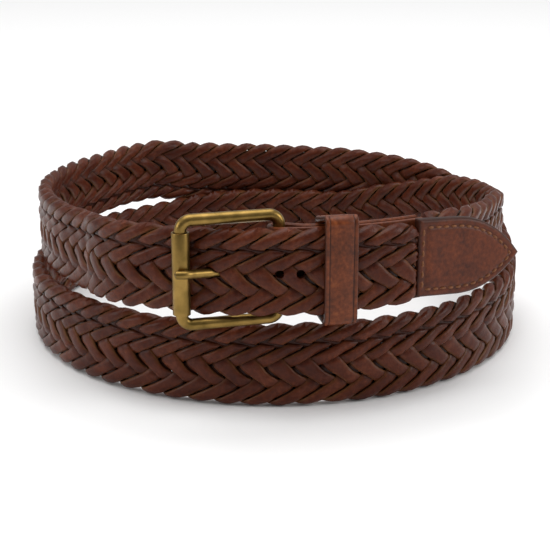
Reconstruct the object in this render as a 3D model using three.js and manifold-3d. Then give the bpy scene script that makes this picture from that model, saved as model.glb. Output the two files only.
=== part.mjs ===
// A braided leather belt, fastened at its buckle and laid in two turns that stand on their edge.
// Units are millimetres and +Z is up. The buckle faces -Y. One strip of braid starts in the fold
// that holds the buckle, comes down inside the ring at the right, goes once round on the floor,
// climbs outside itself at the back, crosses over at the left and comes back through the buckle.
import * as THREE from 'three';
import { mergeVertices } from 'three/addons/utils/BufferGeometryUtils.js';
import Module from 'manifold-3d';

const wasm = await Module();
wasm.setup();

// The braided strip
const strapWidth = 30;
const strapThickness = 5.2;
const braidPitch = 9.3;
const scallopDepth = 0.8;
const edgeRoundOut = 1.1;
const edgeRoundUp = 1.3;
const tongueLength = 12;
const tongueThickness = 1.4;
const tongueWidth = 21;

// How the strip lies
const ringRadius = 97;
const turnGap = 0.5;
const stackGap = 0.5;
const bendEnd = 26.6;
const looseHoleDiameter = 3;
const looseHoleDegrees = [1, 4.7];
const holeSides = 12;

// The buckle
const wireDiameter = 4;
const frameCornerRadius = 3.5;
const rollerDiameter = 5.9;
const rollerLength = 27.8;
const prongDiameter = 3.2;
const prongTipDiameter = 2.4;
const prongEyeWall = 1.4;
const prongBehindDegrees = -5;
const prongHoleDegrees = -10.2;
const prongDip = 0.5;
const prongRise = 1.1;
const hingeAcross = 1.7;
const rollerAcross = -29.9;

// The plain leather pieces
const chapeLength = 50;
const chapeHeight = 28;
const chapeWall = 1.6;
const keeperWidth = 11;
const keeperWall = 2;
const keeperAcross = 21.5;
const tipLength = 40.3;
const tipHeight = 27;
const tipThickness = 4.4;
const tipPoint = 26;
const tipLift = 1.2;
const tipDroop = 3;

// Clearances
const fitGap = 0.3;
const frameSideGap = 0.7;
const holeGap = 0.4;
const looseGap = 0.8;

const layerStep = strapThickness + turnGap;
const stackStep = strapWidth + stackGap;
const frameInnerHeight = strapWidth + frameSideGap * 2;
const degree = Math.PI / 180;

// The route of the strip, in degrees from the front towards the right. The layers are counted
// outwards from the turn on the floor, the rise is in heights of one turn on another, and the
// width says where the braid is pulled longer and so a little narrower.
const route = [
  { degrees: 0, layers: 0.78, rise: 1.18, width: 1 },
  { degrees: 35, layers: 0.78, rise: 1.18, width: 1 },
  { degrees: 44, layers: 0.4, rise: 1.13, width: 1 },
  { degrees: 52, layers: -0.3, rise: 1.06, width: 1 },
  { degrees: 60, layers: -0.75, rise: 1.015, width: 1 },
  { degrees: 68, layers: -1.05, rise: 0.985, width: 1 },
  { degrees: 78, layers: -1.08, rise: 0.89, width: 1 },
  { degrees: 90, layers: -1.04, rise: 0.77, width: 1 },
  { degrees: 115, layers: -0.92, rise: 0.64, width: 1 },
  { degrees: 140, layers: -0.56, rise: 0.3, width: 1 },
  { degrees: 165, layers: -0.12, rise: 0, width: 1 },
  { degrees: 180, layers: 0, rise: 0, width: 1 },
  { degrees: 196, layers: 0, rise: 0, width: 1 },
  { degrees: 216, layers: 0, rise: 0, width: 0.92 },
  { degrees: 240, layers: 0, rise: 0, width: 0.92 },
  { degrees: 290, layers: 0, rise: 0, width: 0.96 },
  { degrees: 312, layers: 0, rise: 0, width: 1 },
  { degrees: 436, layers: 0, rise: 0, width: 1 },
  { degrees: 450, layers: 0, rise: 0.07, width: 1 },
  { degrees: 460, layers: 0.03, rise: 0.22, width: 1 },
  { degrees: 470, layers: 0.1, rise: 0.38, width: 1 },
  { degrees: 482, layers: 0.22, rise: 0.54, width: 1 },
  { degrees: 495, layers: 0.44, rise: 0.62, width: 1 },
  { degrees: 510, layers: 0.7, rise: 0.65, width: 1 },
  { degrees: 525, layers: 0.93, rise: 0.66, width: 1 },
  { degrees: 540, layers: 1.04, rise: 0.67, width: 1 },
  { degrees: 562, layers: 1.04, rise: 0.78, width: 0.97 },
  { degrees: 574, layers: 1, rise: 0.92, width: 0.93 },
  { degrees: 592, layers: 0.2, rise: 0.93, width: 0.92 },
  { degrees: 612, layers: -0.1, rise: 0.93, width: 0.93 },
  { degrees: 630, layers: -0.5, rise: 0.945, width: 0.95 },
  { degrees: 650, layers: -0.9, rise: 0.965, width: 0.97 },
  { degrees: 668, layers: -0.65, rise: 1.01, width: 0.99 },
  { degrees: 677, layers: -0.09, rise: 1.05, width: 1 },
  { degrees: 683, layers: 0.85, rise: 1.11, width: 1 },
  { degrees: 693, layers: 1.66, rise: 1.15, width: 1 },
  { degrees: 720, layers: 1.78, rise: 1.18, width: 1 },
  { degrees: 732, layers: 1.78, rise: 1.18, width: 1 },
  { degrees: 720 + bendEnd, layers: 1.78, rise: 1.22, width: 0.94 },
];
const lastRow = route[route.length - 1];
const frontLayersUnder = route[0].layers;
const frontLayersOver = lastRow.layers;
const frontRise = route[0].rise * stackStep;
const buckleMiddle = frontRise + strapWidth / 2;
const endMiddle = lastRow.rise * stackStep + (lastRow.width * strapWidth) / 2;

const finish = (name, color, roughness, metalness = 0) =>
  new THREE.MeshStandardMaterial({ name, color, roughness, metalness });
const leatherBraid = finish('leather_braid', 0x5a3226, 0.55);
const leatherKeeper = finish('leather_keeper', 0x7c4a2e, 0.5);
const leatherTip = finish('leather_tip', 0x6a3a24, 0.5);
const brass = finish('brass', 0xa8894c, 0.38, 1);

// A value of one column at an angle, on a curve that never swings past the rows beside it.
function columnAt(rows, column, degrees) {
  const slope = (i) => (rows[i + 1][column] - rows[i][column]) / (rows[i + 1].degrees - rows[i].degrees);
  const bend = (i) => {
    if (i === 0 || i === rows.length - 1) return 0;
    const before = slope(i - 1);
    const after = slope(i);
    return before * after > 0 ? (2 * before * after) / (before + after) : 0;
  };
  let i = rows.findIndex((row) => row.degrees > degrees) - 1;
  if (i < 0) i = rows.length - 2;
  const span = rows[i + 1].degrees - rows[i].degrees;
  const t = (degrees - rows[i].degrees) / span;
  const rise = rows[i + 1][column] - rows[i][column];
  const start = bend(i) * span;
  const end = bend(i + 1) * span;
  const squared = 3 * rise - 2 * start - end;
  const cubed = start + end - 2 * rise;
  return rows[i][column] + t * (start + t * (squared + t * cubed));
}

const faceRadius = (layers) => ringRadius + layers * layerStep;
const onRing = (radius, degrees, z = 0) =>
  new THREE.Vector3(radius * Math.sin(degrees * degree), -radius * Math.cos(degrees * degree), z);

// The middle line of the strip: round the route, then straight on where the end leaves the ring.
const lastDegrees = lastRow.degrees;
const endPlace = onRing(faceRadius(frontLayersOver) - strapThickness / 2, lastDegrees, endMiddle);
const degreesEachStep = 4;
const bendSteps = Math.ceil(lastDegrees / degreesEachStep);
const straightSteps = 4;
const lengthsEachStep = 12;
const line = (() => {
  const points = [];
  const widths = [];
  for (let i = 0; i <= bendSteps; i++) {
    const degrees = (lastDegrees * i) / bendSteps;
    const radius = faceRadius(columnAt(route, 'layers', degrees)) - strapThickness / 2;
    const bottom = columnAt(route, 'rise', degrees) * stackStep;
    const width = columnAt(route, 'width', degrees) * strapWidth;
    points.push(onRing(radius, degrees, bottom + width / 2));
    widths.push(width / strapWidth);
  }
  const along = onRing(1, lastDegrees + 90);
  for (let part = 1; part <= straightSteps; part++) {
    points.push(endPlace.clone().addScaledVector(along, (part * tipLength) / straightSteps));
  }
  const curve = new THREE.CatmullRomCurve3(points);
  curve.arcLengthDivisions = (points.length - 1) * lengthsEachStep;
  const widthAt = (at) => {
    const place = Math.min(curve.getUtoTmapping(at) * (points.length - 1), bendSteps);
    const i = Math.min(Math.floor(place), bendSteps - 1);
    return THREE.MathUtils.lerp(widths[i], widths[i + 1], place - i);
  };
  return { curve, widthAt };
})();
const lineLength = line.curve.getLength();
const endOfBraid = line.curve.getLengths()[bendSteps * lengthsEachStep];

// The place of the strip's middle at a length, with its outward and edgeward directions.
function frameAt(length) {
  const at = THREE.MathUtils.clamp(length / lineLength, 0, 1);
  const point = line.curve.getPointAt(at);
  const along = line.curve.getTangentAt(at);
  const out = new THREE.Vector3(along.y, -along.x, 0).normalize();
  const up = new THREE.Vector3().crossVectors(out, along).normalize();
  return { point, out, up, widthShare: line.widthAt(at) };
}

// One closed ring of points: the section of the braid, with rounded edges.
function section(length, fullWidth, thickness, dip) {
  const { point, out, up, widthShare } = frameAt(length);
  const width = fullWidth * widthShare;
  const half = thickness / 2;
  const mostRound = 0.6;
  const roundOut = Math.min(edgeRoundOut, half * mostRound);
  const edge = width / 2 - dip;
  const side = width / 2 - edgeRoundUp;
  const corners = [
    [half - roundOut, -edge], [half, -side], [half, side], [half - roundOut, edge],
    [roundOut - half, edge], [-half, side], [-half, -side], [roundOut - half, -edge],
  ];
  return corners.map(([n, z]) => point.clone().addScaledVector(out, n).addScaledVector(up, z));
}

// A closed skin over rings of points, which are capped at both ends or run round to the first again.
function skin(rings, endless = false) {
  const sides = rings[0].length;
  const positions = [];
  const index = [];
  rings.forEach((ring) => ring.forEach((p) => positions.push(p.x, p.y, p.z)));
  const count = positions.length / 3;
  for (let i = 0; i < (endless ? rings.length : rings.length - 1); i++) {
    for (let j = 0; j < sides; j++) {
      const a = i * sides + j;
      const b = i * sides + ((j + 1) % sides);
      index.push(a, b, (a + sides) % count, b, (b + sides) % count, (a + sides) % count);
    }
  }
  const last = count - sides;
  for (let j = 1; j < sides - 1 && !endless; j++) {
    index.push(0, j + 1, j, last, last + j, last + j + 1);
  }
  const geometry = new THREE.BufferGeometry();
  geometry.setAttribute('position', new THREE.Float32BufferAttribute(positions, 3));
  geometry.setIndex(index);
  return geometry;
}

function toSolid(geometry) {
  const bare = geometry.clone();
  bare.deleteAttribute('normal');
  bare.deleteAttribute('uv');
  const merged = mergeVertices(bare, 1e-4);
  const corners = Array.from(merged.index.array);
  const vertProperties = Float32Array.from(merged.attributes.position.array);
  const corner = (i) => new THREE.Vector3().fromArray(vertProperties, 3 * corners[i]);
  let volume = 0;
  for (let i = 0; i < corners.length; i += 3) {
    volume += corner(i).dot(corner(i + 1).cross(corner(i + 2)));
  }
  if (volume < 0) corners.reverse();
  const triVerts = Uint32Array.from(corners);
  return new wasm.Manifold(new wasm.Mesh({ numProp: 3, vertProperties, triVerts }));
}

function toGeometry(solid) {
  const mesh = solid.getMesh();
  const geometry = new THREE.BufferGeometry();
  geometry.setAttribute('position', new THREE.BufferAttribute(Float32Array.from(mesh.vertProperties), 3));
  geometry.setIndex(new THREE.BufferAttribute(Uint32Array.from(mesh.triVerts), 1));
  geometry.computeVertexNormals();
  return geometry;
}

const closed = (geometry) => toGeometry(toSolid(geometry));
const join = (first, second) => toGeometry(toSolid(first).add(toSolid(second)));
const cut = (geometry, tools) =>
  toGeometry(tools.reduce((left, tool) => left.subtract(toSolid(tool)), toSolid(geometry)));

// A round bar along a list of points, whose radius follows a function of the share along it.
function bar(points, radiusAt, sides = 10, steps = 16) {
  const curve = new THREE.CatmullRomCurve3(points);
  const rings = [];
  for (let i = 0; i <= steps; i++) {
    const share = i / steps;
    const point = curve.getPointAt(share);
    const along = curve.getTangentAt(share);
    const out = new THREE.Vector3(along.y, -along.x, 0).normalize();
    const up = new THREE.Vector3().crossVectors(out, along).normalize();
    const ring = [];
    for (let j = 0; j < sides; j++) {
      const turn = (-j / sides) * Math.PI * 2;
      const radius = radiusAt(share);
      ring.push(point.clone()
        .addScaledVector(out, radius * Math.cos(turn))
        .addScaledVector(up, radius * Math.sin(turn)));
    }
    rings.push(ring);
  }
  return skin(rings);
}

// The hinge bar lies in the fold behind the outer end of the strip, and the roller before it.
const acrossAt = (radius, across) =>
  new THREE.Vector3(across, -Math.sqrt(radius * radius - across * across), buckleMiddle);
const hinge = acrossAt(faceRadius(frontLayersUnder) - wireDiameter / 2 - fitGap - chapeWall, hingeAcross);
const rollerDegrees = Math.asin(rollerAcross / faceRadius(frontLayersOver)) / degree;
const layersAtRoller = columnAt(route, 'layers', 720 + rollerDegrees);
const rollerPlace = acrossAt(faceRadius(layersAtRoller) + rollerDiameter / 2 + fitGap, rollerAcross);
const frameLength = hinge.distanceTo(rollerPlace);
const frameTilt = Math.atan2(hinge.y - rollerPlace.y, hinge.x - rollerPlace.x);
const hingeDegrees = Math.atan2(hinge.x, -hinge.y) / degree;
const chapeEnd = hingeDegrees + chapeLength / faceRadius(frontLayersUnder) / degree;

// The prong runs from the hinge, through the strip and over the front of the roller.
const prongRadius = prongDiameter / 2;
function prongPoints() {
  // Shares of its clearance from the roller: where it comes in, where it lies in front, and how far
  // its end passes the roller's middle.
  const comesIn = { beside: 1, before: 0.45 };
  const lies = { beside: 0.35, before: 1.02 };
  const endBefore = 1.06;
  const endPast = 0.3;
  const intoEye = 0.1;
  const overStrip = faceRadius(frontLayersOver);
  const clearOfRoller = rollerDiameter / 2 + fitGap + prongTipDiameter / 2;
  const eyeRadius = wireDiameter / 2 + fitGap + prongEyeWall;
  const eyeSide = hinge.x - eyeRadius + prongEyeWall / 2;
  const start = new THREE.Vector3(eyeSide - intoEye, hinge.y, buckleMiddle);
  const behindStrip = overStrip - strapThickness - prongRadius - fitGap * 2;
  const behind = onRing(behindStrip, prongBehindDegrees, buckleMiddle - prongDip);
  const inHole = onRing(overStrip - strapThickness / 2, prongHoleDegrees, buckleMiddle - prongDip);
  const nearRoller = (beside, before, rise) =>
    new THREE.Vector3(rollerPlace.x + beside, rollerPlace.y - clearOfRoller * before, buckleMiddle + rise);
  const around = nearRoller(clearOfRoller * comesIn.beside, comesIn.before, prongRise / 2);
  const onRoller = nearRoller(clearOfRoller * lies.beside, lies.before, prongRise);
  const end = nearRoller(-rollerDiameter * endPast, endBefore, prongRise);
  return [start, behind, inHole, around, onRoller, end];
}

function braidedStrap() {
  const bodyStart = chapeEnd * degree * (faceRadius(frontLayersUnder) - strapThickness / 2) + fitGap;
  const bodyEnd = endOfBraid - fitGap;
  const repeats = Math.round((bodyEnd - bodyStart) / braidPitch);
  const pitch = (bodyEnd - bodyStart) / repeats;
  const crestFrom = 0.26;
  const crestTo = 0.74;
  const tongue = (length) => section(length, tongueWidth, tongueThickness, 0);
  const rings = [bodyStart - tongueLength, bodyStart - tongueLength / 2, bodyStart - fitGap].map(tongue);
  for (let i = 0; i < repeats; i++) {
    const from = bodyStart + i * pitch;
    rings.push(section(from, strapWidth, strapThickness, scallopDepth));
    rings.push(section(from + pitch * crestFrom, strapWidth, strapThickness, 0));
    rings.push(section(from + pitch * crestTo, strapWidth, strapThickness, 0));
  }
  rings.push(section(bodyEnd, strapWidth, strapThickness, scallopDepth));
  rings.push(tongue(bodyEnd + fitGap), tongue(bodyEnd + tongueLength));

  const prongWay = bar(prongPoints(), () => prongRadius + holeGap);
  const holeRadius = looseHoleDiameter / 2;
  const holeDepth = strapThickness * 1.2;
  const holes = looseHoleDegrees.map((degrees) => {
    const hole = new THREE.CylinderGeometry(holeRadius, holeRadius, holeDepth, holeSides);
    const radius = faceRadius(frontLayersOver) - strapThickness / 2;
    hole.rotateZ(degrees * degree);
    const place = onRing(radius, degrees, buckleMiddle);
    return hole.translate(place.x, place.y, place.z);
  });
  return cut(skin(rings), [prongWay, ...holes]);
}

// A bent wire ring with four round corners, lying in the plane of its own X and Z.
function buckleFrame() {
  const sides = 10;
  const cornerSteps = 4;
  const reachX = frameLength / 2 - frameCornerRadius;
  const reachZ = (frameInnerHeight + wireDiameter) / 2 - frameCornerRadius;
  const corners = [[1, 1], [-1, 1], [-1, -1], [1, -1]];
  const rings = [];
  corners.forEach(([signX, signZ], quarter) => {
    for (let i = 0; i <= cornerSteps; i++) {
      const turn = (quarter + i / cornerSteps) * Math.PI / 2;
      const outward = new THREE.Vector3(Math.cos(turn), 0, Math.sin(turn));
      const middle = new THREE.Vector3(signX * reachX, 0, signZ * reachZ);
      middle.addScaledVector(outward, frameCornerRadius);
      const ring = [];
      for (let j = 0; j < sides; j++) {
        const round = (j / sides) * Math.PI * 2;
        ring.push(middle.clone()
          .addScaledVector(outward, (wireDiameter / 2) * Math.cos(round))
          .add(new THREE.Vector3(0, (wireDiameter / 2) * Math.sin(round), 0)));
      }
      rings.push(ring);
    }
  });
  return closed(skin(rings, true));
}

// A short tube whose axis is Z, such as the roller and the eye of the prong.
function tube(innerRadius, outerRadius, length, sides) {
  const half = length / 2;
  const profile = [
    new THREE.Vector2(innerRadius, -half), new THREE.Vector2(outerRadius, -half),
    new THREE.Vector2(outerRadius, half), new THREE.Vector2(innerRadius, half),
    new THREE.Vector2(innerRadius, -half),
  ];
  return closed(new THREE.LatheGeometry(profile, sides).rotateX(Math.PI / 2));
}

function prong() {
  const eye = tube(wireDiameter / 2 + fitGap, wireDiameter / 2 + fitGap + prongEyeWall, prongDiameter, 20);
  eye.translate(hinge.x, hinge.y, hinge.z);
  const taperFrom = 0.45;
  const radiusAt = (share) =>
    THREE.MathUtils.lerp(prongRadius, prongTipDiameter / 2, THREE.MathUtils.smoothstep(share, taperFrom, 1));
  return join(eye, bar(prongPoints(), radiusAt));
}

// Two walls of leather that meet in a fold round the hinge bar, open at the end for the braid.
function chape() {
  const foldRadius = wireDiameter / 2 + fitGap + chapeWall;
  const outer = faceRadius(frontLayersUnder);
  const fullAt = strapThickness * 2;
  const steps = 12;
  const face = (side, share) => {
    const swell = 1 - THREE.MathUtils.smoothstep(share * chapeLength, 0, fullAt);
    const thickness = THREE.MathUtils.lerp(strapThickness, foldRadius * 2, swell);
    return outer - (side === 'outer' ? 0 : thickness);
  };
  const points = [];
  const along = (side, inset, shares) => shares.forEach((share) => {
    const degrees = THREE.MathUtils.lerp(hingeDegrees, chapeEnd, share);
    const place = onRing(face(side, share) + (side === 'outer' ? -inset : inset), degrees);
    points.push(new THREE.Vector2(place.x, place.y));
  });
  const round = (radius, from, to) => {
    for (let i = 1; i < steps; i++) {
      const turn = (hingeDegrees - 90 + THREE.MathUtils.lerp(from, to, i / steps)) * degree;
      points.push(new THREE.Vector2(hinge.x + radius * Math.cos(turn), hinge.y + radius * Math.sin(turn)));
    }
  };
  const outwards = Array.from({ length: steps * 2 + 1 }, (_, i) => i / (steps * 2));
  const inwards = outwards.slice().reverse();
  along('outer', 0, inwards);
  round(foldRadius, 0, -180);
  along('inner', 0, outwards);
  along('inner', chapeWall, inwards);
  round(foldRadius - chapeWall, -180, 0);
  along('outer', chapeWall, outwards);
  const depth = chapeHeight;
  const fold = new THREE.ExtrudeGeometry(new THREE.Shape(points), { depth, bevelEnabled: false });
  fold.translate(0, 0, buckleMiddle - depth / 2);
  const slotLeft = hinge.x - foldRadius - looseGap;
  const slotRight = hinge.x + wireDiameter / 2 + fitGap + prongEyeWall + looseGap;
  const slot = new THREE.BoxGeometry(slotRight - slotLeft, foldRadius * 4, prongDiameter + holeGap * 2);
  slot.translate((slotLeft + slotRight) / 2, hinge.y, hinge.z);
  return cut(fold, [slot]);
}

// A rectangle with round corners, as a shape or as a hole.
function roundedRectangle(Kind, width, height, radius) {
  const x = width / 2 - radius;
  const y = height / 2 - radius;
  const outline = new Kind();
  outline.absarc(x, y, radius, 0, Math.PI / 2);
  outline.absarc(-x, y, radius, Math.PI / 2, Math.PI);
  outline.absarc(-x, -y, radius, Math.PI, Math.PI * 1.5);
  outline.absarc(x, -y, radius, Math.PI * 1.5, Math.PI * 2);
  return outline;
}

// The fixed loop that holds the outer end of the strip against the turn behind it.
function keeperLoop() {
  const insideDeep = faceRadius(frontLayersOver) + fitGap
    - (faceRadius(frontLayersUnder) - strapThickness - looseGap);
  const insideHigh = strapWidth + looseGap * 2;
  const creaseShare = 0.4;
  const cornerRadius = keeperWall * creaseShare;
  const outline = roundedRectangle(THREE.Shape, insideDeep + keeperWall * 2, insideHigh + keeperWall * 2,
    cornerRadius + keeperWall);
  outline.holes.push(roundedRectangle(THREE.Path, insideDeep, insideHigh, cornerRadius));
  const depth = keeperWidth;
  const loop = new THREE.ExtrudeGeometry(outline, { depth, bevelEnabled: false, curveSegments: 4 });
  loop.translate(0, 0, -keeperWidth / 2);
  loop.rotateY(Math.PI / 2);
  loop.rotateX(Math.PI / 2);
  return closed(loop);
}

// The stitched leather end of the strip, with a pocket for the tongue of the braid.
function tip() {
  const edge = 0.7;
  const pull = 0.41;
  const half = tipHeight / 2 - edge;
  const length = tipLength - edge;
  const arch = length - tipPoint;
  const lean = length - tipPoint * pull;
  const drooping = (x, side) => [x, side * half + tipLift - (tipDroop * x) / tipLength];
  const outline = new THREE.Shape();
  outline.moveTo(...drooping(edge, -1));
  outline.lineTo(...drooping(arch, -1));
  outline.quadraticCurveTo(...drooping(lean, -1), ...drooping(length, 0));
  outline.quadraticCurveTo(...drooping(lean, 1), ...drooping(arch, 1));
  outline.lineTo(...drooping(edge, 1));
  const body = new THREE.ExtrudeGeometry(outline, {
    depth: tipThickness - edge * 2, bevelThickness: edge, bevelSize: edge, bevelSegments: 2, curveSegments: 8,
  });
  body.translate(0, 0, edge - tipThickness / 2);
  body.rotateX(Math.PI / 2);
  const pocket = new THREE.BoxGeometry((tongueLength + fitGap) * 2, tongueThickness + fitGap * 2,
    tongueWidth + fitGap * 2);
  return cut(body, [pocket]);
}

const belt = new THREE.Group();
belt.name = 'braided_belt';

function add(name, geometry, material) {
  const mesh = new THREE.Mesh(geometry, material);
  mesh.name = name;
  belt.add(mesh);
  return mesh;
}

add('braided_strap', braidedStrap(), leatherBraid);
add('chape', chape(), leatherKeeper);

const frame = add('buckle_frame', buckleFrame(), brass);
frame.position.copy(hinge).add(rollerPlace).multiplyScalar(0.5);
frame.rotation.z = frameTilt;

const rollerTube = tube(wireDiameter / 2 + fitGap, rollerDiameter / 2, rollerLength, 20);
const roller = add('buckle_roller', rollerTube, brass);
roller.position.copy(rollerPlace);

add('buckle_prong', prong(), brass);

const keeper = add('keeper_loop', keeperLoop(), leatherKeeper);
const keeperDegrees = Math.asin(keeperAcross / faceRadius(frontLayersOver)) / degree;
const keeperMiddle = (faceRadius(frontLayersOver) + fitGap
  + faceRadius(frontLayersUnder) - strapThickness - looseGap) / 2;
keeper.position.copy(onRing(keeperMiddle, keeperDegrees, buckleMiddle));
keeper.rotation.z = keeperDegrees * degree;

const strapTip = add('strap_tip', tip(), leatherTip);
strapTip.position.copy(endPlace);
strapTip.rotation.z = lastDegrees * degree;

belt.updateMatrixWorld(true);
const box = new THREE.Box3().setFromObject(belt, true);
belt.position.set(-(box.min.x + box.max.x) / 2, -(box.min.y + box.max.y) / 2, -box.min.z);

export default belt;
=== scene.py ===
# %% [markdown]
# A braided leather belt, fastened at its brass buckle and laid in two turns on their edge.
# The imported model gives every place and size. This file plaits the real leather strips over the
# plain strap, and gives each other piece its rounded edges, stitches and finish.

# %% Load the fixed frame
import math
import bpy
import numpy as np
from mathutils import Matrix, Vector


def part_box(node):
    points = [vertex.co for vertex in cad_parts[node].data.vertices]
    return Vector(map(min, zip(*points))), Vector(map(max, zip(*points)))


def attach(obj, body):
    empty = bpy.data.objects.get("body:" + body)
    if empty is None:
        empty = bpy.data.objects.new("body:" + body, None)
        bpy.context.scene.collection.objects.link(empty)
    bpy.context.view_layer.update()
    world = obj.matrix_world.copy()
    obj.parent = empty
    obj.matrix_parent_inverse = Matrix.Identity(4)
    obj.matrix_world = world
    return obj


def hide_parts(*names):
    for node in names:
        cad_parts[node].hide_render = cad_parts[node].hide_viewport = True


MM = 0.001
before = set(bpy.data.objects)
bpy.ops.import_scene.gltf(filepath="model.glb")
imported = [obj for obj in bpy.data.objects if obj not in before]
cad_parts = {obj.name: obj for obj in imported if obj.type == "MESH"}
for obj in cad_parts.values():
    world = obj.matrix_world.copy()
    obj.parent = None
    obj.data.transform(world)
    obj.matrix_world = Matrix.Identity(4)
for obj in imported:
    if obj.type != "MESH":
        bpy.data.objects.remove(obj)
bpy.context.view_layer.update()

# %% [markdown]
# The camera stands half a metre in front of the belt, a little above it, with a long lens. The
# floor is white paper, and the world is pale above, behind and beside the belt but dark in front
# of it. A small soft light stands at each side and a wide one hangs above, so the waxed leather
# stays dark towards the camera and shows greyish highlights where it turns to the sides.

# %% Camera
CAMERA_PLACE = (0.00038, -0.48887, 0.17422)
CAMERA_DOWN = 17.7
LENS = 82.55
SENSOR_WIDTH = 36
camera_data = bpy.data.cameras.new("camera")
camera_data.lens = LENS
camera_data.sensor_width = SENSOR_WIDTH
camera = bpy.data.objects.new("camera", camera_data)
camera.location = CAMERA_PLACE
camera.rotation_euler = (math.radians(90 - CAMERA_DOWN), 0, 0)
bpy.context.scene.collection.objects.link(camera)
bpy.context.scene.camera = camera
bpy.context.scene.view_settings.view_transform = "Standard"


# %% Colours and nodes
def srgb(hex_value, alpha=1.0):
    """A colour written as #RRGGBB, as the linear values that a socket takes."""
    channels = [int(hex_value[i:i + 2], 16) / 255 for i in (1, 3, 5)]
    linear = [c / 12.92 if c <= 0.04045 else ((c + 0.055) / 1.055) ** 2.4 for c in channels]
    return (*linear, alpha)


def add_node(tree, kind, settings=None, inputs=None):
    """Adds one node, with its settings and with values or links for its inputs."""
    made = tree.nodes.new(kind)
    for name, value in (settings or {}).items():
        setattr(made, name, value)
    for name, value in (inputs or {}).items():
        socket = made.inputs[name]
        if isinstance(value, bpy.types.NodeSocket):
            tree.links.new(value, socket)
        else:
            socket.default_value = value
    return made


def new_material(name):
    """A material with its shader, ready for nodes: the material, its tree and the shader."""
    material = bpy.data.materials.new(name)
    material.use_nodes = True
    return material, material.node_tree, material.node_tree.nodes["Principled BSDF"]


# %% Floor
FLOOR_SIDE = 12.0
floor_mesh = bpy.data.meshes.new("floor")
half_floor = FLOOR_SIDE / 2
floor_corners = [(x * half_floor, y * half_floor, 0) for x, y in ((-1, -1), (1, -1), (1, 1), (-1, 1))]
floor_mesh.from_pydata(floor_corners, [], [(0, 1, 2, 3)])
floor = bpy.data.objects.new("floor", floor_mesh)
bpy.context.scene.collection.objects.link(floor)
paper, _, paper_shader = new_material("white_paper")
paper_shader.inputs["Base Color"].default_value = srgb("#F3F3F3")
paper_shader.inputs["Roughness"].default_value = 0.9
paper_shader.inputs["Specular IOR Level"].default_value = 0.1
floor_mesh.materials.append(paper)
print("floor side in m:", FLOOR_SIDE)

# %% The world and the lights
# The world's grey before anything is added, and what it gains towards either side, upwards and
# behind the belt. It loses as much downwards and in front of it, and is never darker than the
# least grey.
WORLD_GREY = 0.12
WORLD_GAINS = {"sides": 0.28, "top": 0.8, "back": 0.3}
WORLD_DARKEST = 0.08
WORLD_STRENGTH = 0.72
LIGHT_AIM = (0, 0, 0.03)
world = bpy.data.worlds.new("studio")
world.use_nodes = True
world_tree = world.node_tree
way_seen = add_node(world_tree, "ShaderNodeTexCoord").outputs["Generated"]
axes = add_node(world_tree, "ShaderNodeSeparateXYZ", inputs={"Vector": way_seen}).outputs
sideways = add_node(world_tree, "ShaderNodeMath", {"operation": "ABSOLUTE"}, {0: axes["X"]})
grey = WORLD_GREY
for direction, way in (("sides", sideways.outputs[0]), ("top", axes["Z"]), ("back", axes["Y"])):
    grey = add_node(world_tree, "ShaderNodeMath", {"operation": "MULTIPLY_ADD"},
                    {0: way, 1: WORLD_GAINS[direction], 2: grey}).outputs[0]
room_light = add_node(world_tree, "ShaderNodeMapRange", inputs={
    "Value": grey, "From Min": 0.0, "From Max": 1.0, "To Min": WORLD_DARKEST, "To Max": 1.0})
channels = {channel: room_light.outputs["Result"] for channel in ("Red", "Green", "Blue")}
room_grey = add_node(world_tree, "ShaderNodeCombineColor", inputs=channels)
background = world_tree.nodes["Background"].inputs
world_tree.links.new(room_grey.outputs["Color"], background["Color"])
background["Strength"].default_value = WORLD_STRENGTH
bpy.context.scene.world = world


def area_light(name, place, size, power):
    """A square soft light that faces the belt."""
    data = bpy.data.lights.new(name, "AREA")
    data.size = size
    data.energy = power
    light = bpy.data.objects.new(name, data)
    light.location = place
    aim = Vector(LIGHT_AIM) - Vector(place)
    light.rotation_euler = aim.to_track_quat("-Z", "Y").to_euler()
    bpy.context.scene.collection.objects.link(light)


area_light("left_soft_box", place=(-1.0, -0.3, 0.45), size=0.5, power=2.8)
area_light("right_soft_box", place=(1.0, -0.25, 0.45), size=0.45, power=3.8)
area_light("top_soft_box", place=(0.0, 0.2, 2.6), size=2.4, power=50)

# %% [markdown]
# The belt lies on one long line. It starts in the fold that holds the buckle, comes down inside
# the ring at the right, goes once round on the floor, climbs outside itself at the back, crosses
# over at the left and comes back through the buckle. The table below is that route: the angle
# from the front towards the right, how many layers out from the floor turn, how many turns up,
# and the share of its full width, which is less where the braid is pulled longer.

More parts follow.
